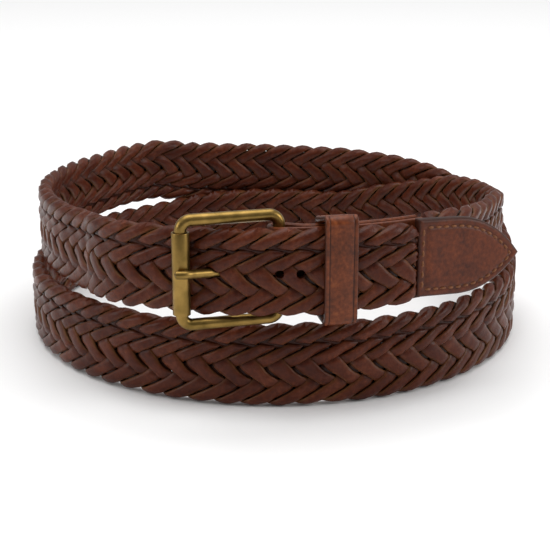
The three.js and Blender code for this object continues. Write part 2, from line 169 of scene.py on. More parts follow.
# %% The route of the strap, in millimetres
STRAP_WIDTH = 30.0
STRAP_THICKNESS = 5.2
RING_RADIUS = 97.0
LAYER_STEP = 5.7
STACK_STEP = 30.5
TIP_LENGTH = 41.4
TIP_STEPS = 40
ROUTE = np.array([
    (0, 0.78, 1.18, 1), (35, 0.78, 1.18, 1), (44, 0.4, 1.13, 1), (52, -0.3, 1.06, 1),
    (60, -0.75, 1.015, 1), (68, -1.05, 0.985, 1), (78, -1.08, 0.89, 1), (90, -1.04, 0.77, 1),
    (115, -0.92, 0.64, 1), (140, -0.56, 0.3, 1), (165, -0.12, 0, 1), (180, 0, 0, 1),
    (196, 0, 0, 1), (216, 0, 0, 0.92), (240, 0, 0, 0.92), (290, 0, 0, 0.96), (312, 0, 0, 1),
    (436, 0, 0, 1), (450, 0, 0.07, 1), (460, 0.03, 0.22, 1), (470, 0.1, 0.38, 1),
    (482, 0.22, 0.54, 1), (495, 0.44, 0.62, 1), (510, 0.7, 0.65, 1), (525, 0.93, 0.66, 1),
    (540, 1.04, 0.67, 1), (562, 1.04, 0.78, 0.97), (574, 1, 0.92, 0.93), (592, 0.2, 0.93, 0.92),
    (612, -0.1, 0.93, 0.93), (630, -0.5, 0.945, 0.95), (650, -0.9, 0.965, 0.97),
    (668, -0.65, 1.01, 0.99), (677, -0.09, 1.05, 1), (683, 0.85, 1.11, 1), (693, 1.66, 1.15, 1),
    (720, 1.78, 1.18, 1), (732, 1.78, 1.18, 1), (746.6, 1.78, 1.22, 0.94),
])


def column_at(table, column, at):
    """A column of a table at some values of its first, on a curve that never swings past its rows."""
    marks, values = table[:, 0], table[:, column]
    slopes = np.diff(values) / np.diff(marks)
    before, after = slopes[:-1], slopes[1:]
    same_way = before * after > 0
    bends = np.zeros(len(values))
    bends[1:-1][same_way] = 2 * (before * after)[same_way] / (before + after)[same_way]
    i = np.clip(np.searchsorted(marks, at, side="right") - 1, 0, len(values) - 2)
    span = marks[i + 1] - marks[i]
    t = (at - marks[i]) / span
    rise = values[i + 1] - values[i]
    start, end = bends[i] * span, bends[i + 1] * span
    square, cube = 3 * rise - 2 * start - end, start + end - 2 * rise
    return values[i] + t * start + t ** 2 * square + t ** 3 * cube


def face_radius(layers):
    """The radius of the strap's outer face."""
    return RING_RADIUS + layers * LAYER_STEP


def on_ring(radius, degrees, height):
    """A point round the ring's middle, from the front towards the right."""
    turn = np.radians(degrees)
    return np.stack([radius * np.sin(turn), -radius * np.cos(turn), height + 0 * turn], -1)


strap_low, strap_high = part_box("braided_strap")
OUTER_LAYERS = ROUTE[-1, 1]
UNDER_LAYERS = ROUTE[0, 1]
ring_middle = np.array([
    (strap_low.x + strap_high.x) / 2 / MM,
    strap_low.y / MM + face_radius(OUTER_LAYERS),
    strap_low.z / MM,
])
print("middle of the ring in mm:", ring_middle.round(2))

# %% The strap's middle line
LINE_STEP = 0.5
line_degrees = np.append(np.arange(0, ROUTE[-1, 0], LINE_STEP), ROUTE[-1, 0])
line_widths = column_at(ROUTE, 3, line_degrees)
line_points = ring_middle + on_ring(
    face_radius(column_at(ROUTE, 1, line_degrees)) - STRAP_THICKNESS / 2, line_degrees,
    column_at(ROUTE, 2, line_degrees) * STACK_STEP + line_widths * STRAP_WIDTH / 2)
way_out = on_ring(1, ROUTE[-1, 0] + 90, 0)
straight = line_points[-1] + np.linspace(1, TIP_LENGTH, TIP_STEPS)[:, None] * way_out
line_points = np.vstack([line_points, straight])
line_widths = np.append(line_widths, np.full(len(straight), line_widths[-1]))
line_lengths = np.append(0, np.cumsum(np.linalg.norm(np.diff(line_points, axis=0), axis=1)))
braid_end = line_lengths[-1] - TIP_LENGTH
line_along = np.gradient(line_points, line_lengths, axis=0)
print("braid and tip, mm along the line:", round(braid_end, 1), round(line_lengths[-1], 1))


def strap_frame(lengths):
    """The middle line's points, its directions out and up, and the strap's share of full width."""
    def read(values):
        return np.stack([np.interp(lengths, line_lengths, values[:, i]) for i in range(3)], -1)

    point, along = read(line_points), read(line_along)
    out = np.stack([along[..., 1], -along[..., 0], 0 * along[..., 0]], -1)
    out /= np.linalg.norm(out, axis=-1, keepdims=True)
    up = np.cross(out, along)
    up /= np.linalg.norm(up, axis=-1, keepdims=True)
    return point, out, up, np.interp(lengths, line_lengths, line_widths)


# %% One mesh from rings of points
def smooth(t):
    """A soft step from 0 to 1."""
    t = np.clip(t, 0, 1)
    return t * t * (3 - 2 * t)


def ring_faces(rings, sides, endless=False):
    """The faces of a skin over rings of points, with flat ends unless it runs round."""
    faces = []
    for i in range(rings if endless else rings - 1):
        row, following = i * sides, ((i + 1) % rings) * sides
        beside = [(j, (j + 1) % sides) for j in range(sides)]
        faces += [(row + j, row + k, following + k, following + j) for j, k in beside]
    if not endless:
        last = (rings - 1) * sides
        faces += [tuple(range(sides - 1, -1, -1)), tuple(range(last, last + sides))]
    return faces


def points_in(points, faces):
    """Whether the faces of a closed skin point into it."""
    triangles = np.array([(face[0], b, c) for face in faces for b, c in zip(face[1:], face[2:])])
    a, b, c = (points - points.mean(0))[triangles].transpose(1, 0, 2)
    return (a * np.cross(b, c)).sum() < 0


def skins_mesh(name, skins):
    """One mesh from skins of ring points in mm: (rings x sides x 3 points, endless)."""
    points, faces, count = [], [], 0
    for grid, endless in skins:
        rings, sides = grid.shape[:2]
        points.append(grid.reshape(-1, 3))
        skin_faces = ring_faces(rings, sides, endless)
        if points_in(points[-1], skin_faces):
            skin_faces = [face[::-1] for face in skin_faces]
        faces += [tuple(count + i for i in face) for face in skin_faces]
        count += rings * sides
    mesh = bpy.data.meshes.new(name)
    mesh.from_pydata((np.vstack(points) * MM).tolist(), [], faces)
    mesh.validate()
    return mesh


def new_piece(name, skins, material, replaced=(), sharp=40):
    """A piece of the belt from skins of ring points. Edges from sharp degrees on stay crisp."""
    mesh = skins_mesh(name, skins)
    mesh.shade_smooth()
    mesh.set_sharp_from_angle(angle=math.radians(sharp))
    mesh.materials.append(material)
    piece = bpy.data.objects.new(name, mesh)
    bpy.context.scene.collection.objects.link(piece)
    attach(piece, "root")
    if replaced:
        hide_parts(*replaced)
    mesh.calc_loop_triangles()
    print(name, "has", len(mesh.loop_triangles), "triangles")
    return piece


def set_values(piece, name, values):
    """Keeps one value for each point of a piece."""
    attribute = piece.data.attributes.new(name, "FLOAT", "POINT")
    attribute.data.foreach_set("value", np.asarray(values, np.float32).ravel())


# %% [markdown]
# The strips are waxed cowhide. The grain side is red brown with a low wide sheen, and the cut edges
# are raw and paler. The hollows between strips, the strips' sides and undersides, and the lengths where
# a strip dives are painted nearly black as painted shade. Each point of a strip keeps three values for
# that: how raw it is, how deep it lies, which sets how much painted shade it takes, and its strip's
# tone.
# The keeper and the sewn end keep only how deep, which paints shade on their edges and pressed lines,
# and the values that a piece doesn't keep count as 0. The pores of real hide, about 0.15 mm, are too
# fine to show here, so they are drawn about three times as coarse.

# %% Waxed cowhide
# Clouds and mottles in the dye, each with its size in mm and its detail, and how much each of
# them and the strip's tone moves the colour.
CLOUDS = (9, 3.0)
MOTTLES = (1.4, 4.0)
MOTTLE_SHARE = 0.55
CLOUD_SHARE = 0.45
TONE_SHARE = 0.08
DARKER_BY = -0.05
# Where the dark, the middle and the light colour lie on the ramp.
RAMP = (0.28, 0.5, 0.74)
RAW_COLOUR = "#76502F"
# Painted shade: the colour mixed in where a point lies deep, for the hollows, undersides and dives.
PAINTED_SHADE_COLOUR = "#150906"
GLOSS_SPREAD = 0.08
PORE_SHARE = 0.5
PORE_RELIEF_MM = 0.12


def leather(name, colours, pore_mm, roughness, bump, shine):
    """Aniline leather: clouded colour, fine pores, a wax sheen and painted shade where a point lies
    deep. colours: dark, middle, light.
    """
    material, tree, shader = new_material(name)
    place = add_node(tree, "ShaderNodeTexCoord").outputs["Object"]
    clouds, mottles = [
        add_node(tree, "ShaderNodeTexNoise",
                 inputs={"Vector": place, "Scale": 1 / (size * MM), "Detail": detail}).outputs["Fac"]
        for size, detail in (CLOUDS, MOTTLES)]
    pores = add_node(tree, "ShaderNodeTexVoronoi",
                     inputs={"Vector": place, "Scale": 1 / (pore_mm * MM)}).outputs["Distance"]
    raw, deep, tone = [
        add_node(tree, "ShaderNodeAttribute", {"attribute_name": kept}).outputs["Fac"]
        for kept in ("raw", "deep", "tone")]
    level = DARKER_BY
    for value, share in ((mottles, MOTTLE_SHARE), (clouds, CLOUD_SHARE), (tone, TONE_SHARE)):
        level = add_node(tree, "ShaderNodeMath", {"operation": "MULTIPLY_ADD"},
                         {0: value, 1: share, 2: level}).outputs[0]
    ramp = add_node(tree, "ShaderNodeValToRGB", inputs={"Fac": level})
    steps = ramp.color_ramp.elements
    steps[0].position, steps[1].position = RAMP[0], RAMP[2]
    steps[0].color, steps[1].color = srgb(colours[0]), srgb(colours[2])
    steps.new(RAMP[1]).color = srgb(colours[1])
    colour = ramp.outputs["Color"]
    # The cut edges' own paler colour, then painted shade where a point lies deep.
    for share, over in ((raw, RAW_COLOUR), (deep, PAINTED_SHADE_COLOUR)):
        colour = add_node(tree, "ShaderNodeMix", {"data_type": "RGBA"},
                          {0: share, 6: colour, 7: srgb(over)}).outputs[2]
    tree.links.new(colour, shader.inputs["Base Color"])
    gloss = add_node(tree, "ShaderNodeMapRange", inputs={
        "Value": mottles, "To Min": roughness - GLOSS_SPREAD, "To Max": roughness + GLOSS_SPREAD})
    tree.links.new(gloss.outputs["Result"], shader.inputs["Roughness"])
    shader.inputs["Specular IOR Level"].default_value = shine
    height = add_node(tree, "ShaderNodeMath", {"operation": "MULTIPLY_ADD"},
                      {0: pores, 1: PORE_SHARE, 2: mottles})
    relief = add_node(tree, "ShaderNodeBump", inputs={
        "Height": height.outputs[0], "Strength": bump, "Distance": PORE_RELIEF_MM * MM})
    tree.links.new(relief.outputs["Normal"], shader.inputs["Normal"])
    return material


braid_leather = leather("waxed_cowhide_strips", ("#3C160B", "#502313", "#6C3722"),
                        pore_mm=0.5, roughness=0.34, bump=0.8, shine=0.16)
keeper_leather = leather("waxed_cowhide_keeper", ("#451F0D", "#6B3317", "#965127"),
                         pore_mm=0.45, roughness=0.4, bump=0.4, shine=0.25)
tip_leather = leather("waxed_cowhide_tip", ("#3E190B", "#5E2A12", "#783A1B"),
                      pore_mm=0.45, roughness=0.4, bump=0.4, shine=0.22)
print("leathers:", [m.name for m in (braid_leather, keeper_leather, tip_leather)])

# %% [markdown]
# Sixteen strips make a flat tube. Six fall steeply to the right on the outer face and ten rise
# gently, and each goes on round both rims. A strip that falls is number a, one that rises is
# number b, and they cross in row b - a, at the length p (a + b) / 2 where p is the pitch, plus
# what the lattice leans by at that row. One small table says which strip lies on top in each of
# the eight rows between the rims. Every ring of a strip's mesh lies along the strips that it
# crosses, so its ends tuck under them as real ones do.

# %% The order of the braid
PITCH = 9.3
STRIPS = {"falling": 6, "rising": 10}
ROWS_EACH_FACE = 8
# How many plies above or below the wall's middle a strip lies in each of the eight rows.
LEVELS = {
    "falling": np.array([-1, -0.7, -1, -1, 0.75, 1.25, -1, -1]),
    "rising": np.array([1.1, 0.9, 0.5, 1.35, -1, -1, 0.6, 1.1]),
}
# The row at which an edge piece and the piece below it part, though they are one strip: how many
# plies it dives there, over what share of a row, and by what share it narrows.
PARTED_ROW = 1
PARTED_DEPTH = 2.3
PARTED_WIDE = 0.34
PARTED_NARROW = 0.45
# How far the whole lattice is moved along the strap, in mm.
PHASE = 1.36
# Row edges from one rim to the other: the share of the way, and how far the lattice leans, in mm.
# The other face, and the turn after it, go on with the same table a pitch further back.
LATTICE = np.array([
    (0, 0, 0), (1, 0.19, -5.7), (2, 0.245, -3.2), (4, 0.455, -5.7),
    (5, 0.595, -6.9), (6, 0.73, -6.1), (8, 1.0, -PITCH),
])
FACE_STEP = np.array([ROWS_EACH_FACE, 1, -PITCH])
ALL_LATTICE = np.vstack([LATTICE[:-1] + side * FACE_STEP for side in (-1, 0, 1)])
WALL = STRAP_THICKNESS / 2
PLY_LIFT = 0.7
# The share of its row that a strip fills, and of a row in which it changes level on either side.
STRIP_SHARES = {"falling": 0.84, "rising": 0.88}
EASE = 0.27
# How far a strip on top rolls to one side, and how far every strip rounds over the rims, in mm at
# its edge, with the share of that by which its middle rises there. The rims make room for the
# strips' own height, so the tube inside is narrower than the strap by this much, in mm.
ROLL = 0.12
RIM_CROWN = 1.0
RIM_CROWN_MIDDLE = 0.2
RIM_INSET = 0.8
RINGS_A_ROW = 4
# Across a strip: the share of its half width and the height in mm, round the section.
STRIP_SECTION = np.array([
    (-1, 0.02), (-0.88, 0.44), (-0.45, 0.68), (0, 0.76), (0.45, 0.68), (0.88, 0.44), (1, 0.02),
    (1, -0.7), (0, -0.75), (-1, -0.7),
])
SECTION_RAW = np.array([1, 0.25, 0, 0, 0, 0.25, 1, 1, 0.5, 1])
# How much painted shade each point of the section takes: a little at the top of its sides, and all of
# it on its underside.
SECTION_PAINTED_SHADE = np.array([0.1, 0, 0, 0, 0, 0, 0.1, 1, 1, 1])
# Where the braid runs: from the end of the fold to the tip, with a little tucked into each.
chape_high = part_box("chape")[1]
CHAPE_REACH = (chape_high.x / MM - ring_middle[0]) / face_radius(UNDER_LAYERS)
CHAPE_END = math.degrees(math.asin(CHAPE_REACH))
braid_start = math.radians(CHAPE_END) * (face_radius(UNDER_LAYERS) - STRAP_THICKNESS / 2)
TUCKED = 9.0
print("braid runs from", round(braid_start, 1), "to", round(braid_end, 1), "mm")

# %% The unevenness of a hand-made braid
SEED = 11
WAVE_LENGTHS = np.array([173.0, 61.0, 37.0, 23.0, 13.7, 9.1])
rng = np.random.default_rng(SEED)
WAVES = rng.uniform(0.0, 2 * math.pi, (len(WAVE_LENGTHS), 2))
# What sets one kind of unevenness, and one row, apart from the next, in radians, the share of a
# wave that is the same in every row, and what the waves' sum is divided by.
KIND_SHIFT = 2.1
ROW_SHIFT = 0.8
ROW_SWING = 1.7
STEADY_SHARE = 0.6
WAVE_SUM = 3
# The number of each kind. Along the strap, neighbouring rows wander nearly together.
KINDS = {"along": 1, "raw": 2, "out": 3, "across": 5}
ROWS_ALONG = 0.2
# How far strips wander along the strap, out of its face and across it, in mm.
WANDER_ALONG = 0.3
WANDER_OUT = 0.1
WANDER_ACROSS = 0.25
# How raw an edge is and how much painted shade a level takes: the mean, and what unevenness or level
# changes.
RAW_MEAN, RAW_SWING = 0.55, 0.45
PAINTED_SHADE_MEAN, PAINTED_SHADE_SWING = 0.3, 0.45


def wobble(lengths, rows, kind):
    """Smooth seeded unevenness, about -1 to 1: a kind of it for each number."""
    total = 0
    for (first, second), wave in zip(WAVES, WAVE_LENGTHS):
        ripple = np.sin(2 * math.pi * lengths / wave + first + kind * KIND_SHIFT + rows * ROW_SHIFT)
        swing = (1 - STEADY_SHARE) * np.cos(rows * ROW_SWING + second)
        total = total + ripple * (STEADY_SHARE + swing)
    return total / WAVE_SUM


# %% The tube and its rows
def wall_place(row, width):
    """A row coordinate from 0 to 16 on the flattened tube: across, out, and the way it faces."""
    face = np.floor(row / ROWS_EACH_FACE).astype(int) % 2
    share = column_at(ALL_LATTICE, 1, row % ROWS_EACH_FACE)
    bend = WALL / 2
    flat = width - 2 * WALL
    arc = share * (flat + math.pi * bend)
    quarter = math.pi * bend / 2
    past_flat = np.where(arc > quarter + flat, (arc - quarter - flat) / bend, 0)
    turn = np.where(arc < quarter, arc / bend, past_flat + math.pi / 2)
    middle = flat / 2 - np.clip(arc - quarter, 0, flat)
    sign = np.where(face == 1, -1, 1)
    facing_up, facing_out = sign * np.cos(turn), sign * np.sin(turn)
    return sign * middle + bend * facing_up, bend * facing_out, facing_up, facing_out


def leaning(row):
    """How far the lattice leans at a row counted on round the tube, in mm."""
    face = np.floor(row / ROWS_EACH_FACE)
    return column_at(ALL_LATTICE, 2, row - face * ROWS_EACH_FACE) - face * PITCH + PHASE


# %% How a strip goes over and under
def over_and_under(kind, strip, place):
    """The level at each ring, eased over the edge of the strip that it dives under, and its width."""
    cell = np.floor(place + 0.5).astype(int)
    part = place + 0.5 - cell

    def row_at(at):
        return ((at - strip if kind == "falling" else strip - at) - 1) % ROWS_EACH_FACE

    before, here, after = [LEVELS[kind][row_at(cell + step)] for step in (-1, 0, 1)]
    leave = smooth((part + EASE) / (2 * EASE))
    arrive = smooth((part - 1 + EASE) / (2 * EASE))
    eased = before + (here - before) * leave + (after - here) * arrive
    parts_here = (row_at(cell) == PARTED_ROW) * (kind == "rising")
    parting = np.exp(-(((part - 0.5) / PARTED_WIDE) ** 2)) * parts_here
    return eased - PARTED_DEPTH * parting, 1 - PARTED_NARROW * parting


def strip_rings(kind, strip):
    """Where the rings of one long strip cross the other strips, counted in their numbers.

    It starts with more rings than a strip can have, and leaves out those past either end.
    """
    reach = 4 * math.ceil(braid_end / PITCH)
    place = np.arange(-reach, reach, 1 / RINGS_A_ROW)
    middle_row = (place - strip if kind == "falling" else strip - place) - 0.5
    middle_length = PITCH * (place + strip) / 2 + leaning(middle_row)
    return place[(middle_length > braid_start - TUCKED) & (middle_length < braid_end + TUCKED)]


def strip_tones(place):
    """A tone from -1 to 1 for each ring, which changes slowly along the strip."""
    cells = np.floor(place + 0.5).astype(int)
    tones = rng.uniform(-1, 1, cells.max() - cells.min() + 3)
    return np.interp(place, np.arange(len(tones)) * 2 + cells.min() - 1, tones)


# %% One long strip
# Where a strip goes into the fold or the tip it is pressed flat and drawn in: the shares that are
# left of its height and width there, and the start and length in mm of the change at either end.
PRESSED_FLAT = 0.27
DRAWN_IN = 0.82
FOLD_CHANGE = (-1.2, 2)
TIP_CHANGE = (0.3, 1.6)


def strip_grid(kind, strip):
    """The points of one long strip, with how raw each of them is, how much painted shade it takes and
    what tone it is.
    """
    place = strip_rings(kind, strip)
    across, section_height = STRIP_SECTION[:, 0], STRIP_SECTION[:, 1]
    level, share = over_and_under(kind, strip, place)
    level = level[:, None]
    own = strip + across * STRIP_SHARES[kind] / 2 * share[:, None]
    other = place[:, None] + 0 * own
    falling, rising = (own, other) if kind == "falling" else (other, own)
    row = rising - falling - 0.5
    length = PITCH * (falling + rising) / 2 + leaning(row)
    row = row % (2 * ROWS_EACH_FACE)
    tone = strip_tones(place)[:, None] + 0 * row
    wandered = length + WANDER_ALONG * wobble(length, row * ROWS_ALONG, KINDS["along"])
    point, out, up, width_share = strap_frame(wandered)
    w, n, facing_up, facing_out = wall_place(row, STRAP_WIDTH * width_share - RIM_INSET)
    side = -1 if kind == "rising" else 1
    height = level * PLY_LIFT + section_height + side * ROLL * across * (level > 0)
    crown = RIM_CROWN * facing_up ** 2 * (RIM_CROWN_MIDDLE - across ** 2)
    height = height + WANDER_OUT * wobble(length, row, KINDS["out"]) + crown
    w = w + WANDER_ACROSS * wobble(length, 0, KINDS["across"])
    inside = smooth((length - braid_start - FOLD_CHANGE[0]) / FOLD_CHANGE[1])
    inside = inside * smooth((braid_end + TIP_CHANGE[0] - length) / TIP_CHANGE[1])
    spread_w = (w + facing_up * height) * (DRAWN_IN + (1 - DRAWN_IN) * inside)
    spread_n = (n + facing_out * height) * (PRESSED_FLAT + (1 - PRESSED_FLAT) * inside)
    points = point + out * spread_n[..., None] + up * spread_w[..., None]
    raw = SECTION_RAW * (RAW_MEAN + RAW_SWING * wobble(length, row, KINDS["raw"]))
    # Painted shade: the lower a strip lies, the darker, and its sides and underside always dark.
    deep = np.maximum(np.clip(PAINTED_SHADE_MEAN - PAINTED_SHADE_SWING * level, 0, 1), SECTION_PAINTED_SHADE)
    return {"points": points, "raw": np.clip(raw, 0, 1), "deep": deep, "tone": tone}


# %% Both ways of strips
def plait(kind):
    """All strips that run one way, as one piece."""
    grids = [strip_grid(kind, strip) for strip in range(STRIPS[kind])]
    skins = [(grid["points"], False) for grid in grids]
    piece = new_piece(f"{kind}_strips", skins, braid_leather,
                      ["braided_strap"], sharp=50)
    # Each point keeps how raw it is, its painted shade as "deep", and its tone.
    for kept in ("raw", "deep", "tone"):
        set_values(piece, kept, np.concatenate([grid[kept].ravel() for grid in grids]))
    return piece


falling_strips = plait("falling")
rising_strips = plait("rising")

# %% [markdown]
# The buckle is solid brass wire, bent and soldered, then tumbled: a satin face with soft darker
# clouds where it has aged. The roller is a short plain tube, free on the outer bar. The marks that
# tumbling leaves are too fine to show, so the grit that drives its gloss is drawn half a
# millimetre wide.

# %% Aged brass
# Each pattern's size in mm and its detail.
TARNISH = (6, 5.0)
GRIT = (0.5, 2.0)
TARNISHED, RUBBED = "#6C572C", "#9A7C44"
TARNISH_RAMP = (0.3, 0.65)
BRASS_ROUGHNESS = (0.28, 0.44)
BRASS_BUMP = 0.15
GRIT_RELIEF_MM = 0.05
brass, brass_tree, brass_shader = new_material("tumbled_brass")
brass_place = add_node(brass_tree, "ShaderNodeTexCoord").outputs["Object"]
tarnish, grit = [
    add_node(brass_tree, "ShaderNodeTexNoise",
             inputs={"Vector": brass_place, "Scale": 1 / (size * MM), "Detail": detail}).outputs["Fac"]
    for size, detail in (TARNISH, GRIT)]
brass_ramp = add_node(brass_tree, "ShaderNodeValToRGB", inputs={"Fac": tarnish})
for step, position, colour in zip(brass_ramp.color_ramp.elements, TARNISH_RAMP, (TARNISHED, RUBBED)):
    step.position = position
    step.color = srgb(colour)
brass_tree.links.new(brass_ramp.outputs["Color"], brass_shader.inputs["Base Color"])
brass_gloss = add_node(brass_tree, "ShaderNodeMapRange", inputs={
    "Value": grit, "To Min": BRASS_ROUGHNESS[0], "To Max": BRASS_ROUGHNESS[1]})
brass_tree.links.new(brass_gloss.outputs["Result"], brass_shader.inputs["Roughness"])
brass_shader.inputs["Metallic"].default_value = 1.0
brass_relief = add_node(brass_tree, "ShaderNodeBump", inputs={
    "Height": grit, "Strength": BRASS_BUMP, "Distance": GRIT_RELIEF_MM * MM})
brass_tree.links.new(brass_relief.outputs["Normal"], brass_shader.inputs["Normal"])
print("brass roughness:", BRASS_ROUGHNESS)

# %% Where the buckle is
WIRE = 4.0
FRAME_INNER_HEIGHT = 31.4
FRAME_CORNER = 3.5
ROLLER_DIAMETER = 5.9
ROLLER_LENGTH = 27.8
PRONG_DIAMETER = 3.2
PRONG_TIP_DIAMETER = 2.8
PRONG_EYE_WALL = 1.4
PRONG_DIP = 0.5
PRONG_RISE = 1.1
FIT_GAP = 0.3
BORE = WIRE / 2 + FIT_GAP


def middle_of(node):
    """The middle of a node's box, in mm."""
    low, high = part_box(node)
    return np.array((low + high) / 2) / MM


roller_middle = middle_of("buckle_roller")
frame_middle = middle_of("buckle_frame")
hinge_middle = 2 * frame_middle - roller_middle
frame_reach = np.linalg.norm(hinge_middle - roller_middle)
frame_way = (hinge_middle - roller_middle) / frame_reach
print("hinge bar at", hinge_middle.round(2), "and roller at", roller_middle.round(2))


# %% Bent wire
WIRE_SIDES = 24
CORNER_STEPS = 10
UP = np.array([0, 0, 1.0])
# The signs of a rectangle's corners, in the order in which a path runs round them.
CORNERS = ((1, 1), (-1, 1), (-1, -1), (1, -1))


def circle(sides):
    """Angles round a circle."""
    return np.arange(sides) / sides * 2 * math.pi


def wire_frame():
    """The wire of the buckle, round four bent corners."""
    reach_x = frame_reach / 2 - FRAME_CORNER
    reach_z = (FRAME_INNER_HEIGHT + WIRE) / 2 - FRAME_CORNER
    across = np.array([-frame_way[1], frame_way[0], 0])
    rings = []
    for quarter, (sign_x, sign_z) in enumerate(CORNERS):
        corner = frame_middle + frame_way * sign_x * reach_x + UP * sign_z * reach_z
        for i in range(CORNER_STEPS + 1):
            turn = (quarter + i / CORNER_STEPS) * math.pi / 2
            outward = frame_way * math.cos(turn) + UP * math.sin(turn)
            middle = corner + outward * FRAME_CORNER
            rings.append([middle + WIRE / 2 * (outward * math.cos(a) + across * math.sin(a))
                          for a in circle(WIRE_SIDES)])
    return np.array(rings)


# %% Turned tubes
TUBE_SIDES = 40
# How much of an edge's size a rounded edge cuts off its corner, in the middle of the rounding.
ROUNDING = 0.3


def turned_tube(middle, profile):
    """A ring of revolution about a line up through middle: profile is radius and height."""
    rings = []
    for a in circle(TUBE_SIDES):
        way = np.array([math.cos(a), math.sin(a), 0])
        rings.append([middle + way * radius + UP * height for radius, height in profile])
    return np.array(rings)


def tube_profile(inner, outer, length, edge):
    """A tube's wall with small round edges."""
    half, cut = length / 2, ROUNDING * edge
    return [
        (inner, -half + edge), (inner + edge, -half), (outer - edge, -half), (outer - cut, -half + cut),
        (outer, -half + edge), (outer, half - edge), (outer - cut, half - cut), (outer - edge, half),
        (inner + edge, half), (inner, half - edge),
    ]


# %% Round bars along a curve
SPAN_STEPS = 24
# The knots between which each round of blending runs, until one point is left.
KNOT_PAIRS = (((0, 1), (1, 2), (2, 3)), ((0, 2), (1, 3)), ((1, 2),))


def spline(points, count):
    """Points on a smooth curve through a few points, evenly spaced along it."""
    padded = np.vstack([2 * points[0] - points[1], points, 2 * points[-1] - points[-2]])
    fine = []
    for four in zip(padded, padded[1:], padded[2:], padded[3:]):
        gaps = [math.sqrt(np.linalg.norm(after - before)) for before, after in zip(four, four[1:])]
        knots = np.append(0, np.cumsum(gaps))
        for t in np.linspace(knots[1], knots[2], SPAN_STEPS, endpoint=False):
            blended = four
            for pairs in KNOT_PAIRS:
                blended = [(p * (knots[b] - t) + q * (t - knots[a])) / (knots[b] - knots[a])
                           for p, q, (a, b) in zip(blended, blended[1:], pairs)]
            fine.append(blended[0])
    fine = np.array(fine + [points[-1]])
    lengths = np.append(0, np.cumsum(np.linalg.norm(np.diff(fine, axis=0), axis=1)))
    even = np.linspace(0, lengths[-1], count)
    return np.stack([np.interp(even, lengths, fine[:, i]) for i in range(3)], -1)


def round_bar(points, radius_at, count=60, sides=20):
    """A round bar along a smooth curve, whose radius follows the share along it."""
    middles = spline(points, count)
    along = np.gradient(middles, axis=0)
    along /= np.linalg.norm(along, axis=1, keepdims=True)
    out = np.stack([along[:, 1], -along[:, 0], 0 * along[:, 0]], -1)
    out /= np.linalg.norm(out, axis=1, keepdims=True)
    up = np.cross(out, along)
    rings = []
    for i, middle in enumerate(middles):
        radius = radius_at(i / (count - 1))
        rings.append([middle + radius * (out[i] * math.cos(a) + up[i] * math.sin(a))
                      for a in circle(sides)])
    return np.array(rings)


# %% The prong's way, from its eye, through the strap and over the roller
# Where the prong passes behind the strap and where it goes through it, in degrees round the ring,
# and how far into its eye's wall it starts, in mm.
PRONG_BEHIND_DEGREES = -5
PRONG_HOLE_DEGREES = -10.2
PRONG_ROOT = 0.1
# Over the roller: to the right, forwards and up, in shares of the prong's way clear of it, or of
# its rise. The prong ends to the left, in shares of the roller's diameter and of that way.
OVER_ROLLER = ((1, -0.45, 0.5), (0.35, -1.02, 1))
PRONG_END = (-0.3, -1.06)
# The share of its length from which the prong thins, and the length in mm over which its end is
# rounded. The very end keeps this share of its section.
PRONG_LENGTH = 45
PRONG_THINS_FROM = 0.45
PRONG_ROUNDED = 1.1
PRONG_BLUNT = 0.04


def prong_points():
    """The points that the prong passes, in mm."""
    over_strip = face_radius(OUTER_LAYERS)
    clear_of_roller = ROLLER_DIAMETER / 2 + FIT_GAP + PRONG_TIP_DIAMETER / 2
    eye_radius = BORE + PRONG_EYE_WALL
    behind_radius = over_strip - STRAP_THICKNESS - PRONG_DIAMETER / 2 - FIT_GAP * 2
    behind = ring_middle + on_ring(behind_radius, PRONG_BEHIND_DEGREES, 0)
    in_hole = ring_middle + on_ring(over_strip - STRAP_THICKNESS / 2, PRONG_HOLE_DEGREES, 0)
    behind[2] = in_hole[2] = hinge_middle[2] - PRONG_DIP
    over_roller = [roller_middle + (clear_of_roller * x, clear_of_roller * y, PRONG_RISE * z)
                   for x, y, z in OVER_ROLLER]
    end = (ROLLER_DIAMETER * PRONG_END[0], clear_of_roller * PRONG_END[1], PRONG_RISE)
    root = (-eye_radius + PRONG_EYE_WALL / 2 - PRONG_ROOT, 0, 0)
    return np.array([hinge_middle + root, behind, in_hole, *over_roller, roller_middle + end])


def prong_radius(share):
    """The prong thins towards its tip and has a rounded end."""
    thinned = float(smooth((share - PRONG_THINS_FROM) / (1 - PRONG_THINS_FROM)))
    thick = PRONG_DIAMETER / 2 + (PRONG_TIP_DIAMETER - PRONG_DIAMETER) / 2 * thinned
    from_end = (1 - share) * PRONG_LENGTH
    return thick * math.sqrt(max(PRONG_BLUNT, 1 - max(0, 1 - from_end / PRONG_ROUNDED) ** 2))


# %% The three brass pieces
ROLLER_EDGE = 0.25
EYE_EDGE = 0.4
new_piece("bent_wire_frame", [(wire_frame(), True)], brass, ["buckle_frame"])
roller_wall = tube_profile(BORE, ROLLER_DIAMETER / 2, ROLLER_LENGTH, ROLLER_EDGE)
roller_skins = [(turned_tube(roller_middle, roller_wall), True)]
new_piece("brass_roller", roller_skins, brass, ["buckle_roller"])
eye_wall = tube_profile(BORE, BORE + PRONG_EYE_WALL, PRONG_DIAMETER, EYE_EDGE)
prong_skins = [
    (turned_tube(hinge_middle, eye_wall), True),
    (round_bar(prong_points(), prong_radius), False),
]
new_piece("buckle_pin", prong_skins, brass, ["buckle_prong"])

# %% Holes through the braid
HOLE_DIAMETER = 3.0
# Where the two loose holes are, in degrees from the front, and the room round the prong.
HOLE_DEGREES = (1.0, 4.7)
HOLE_GAP = 0.4


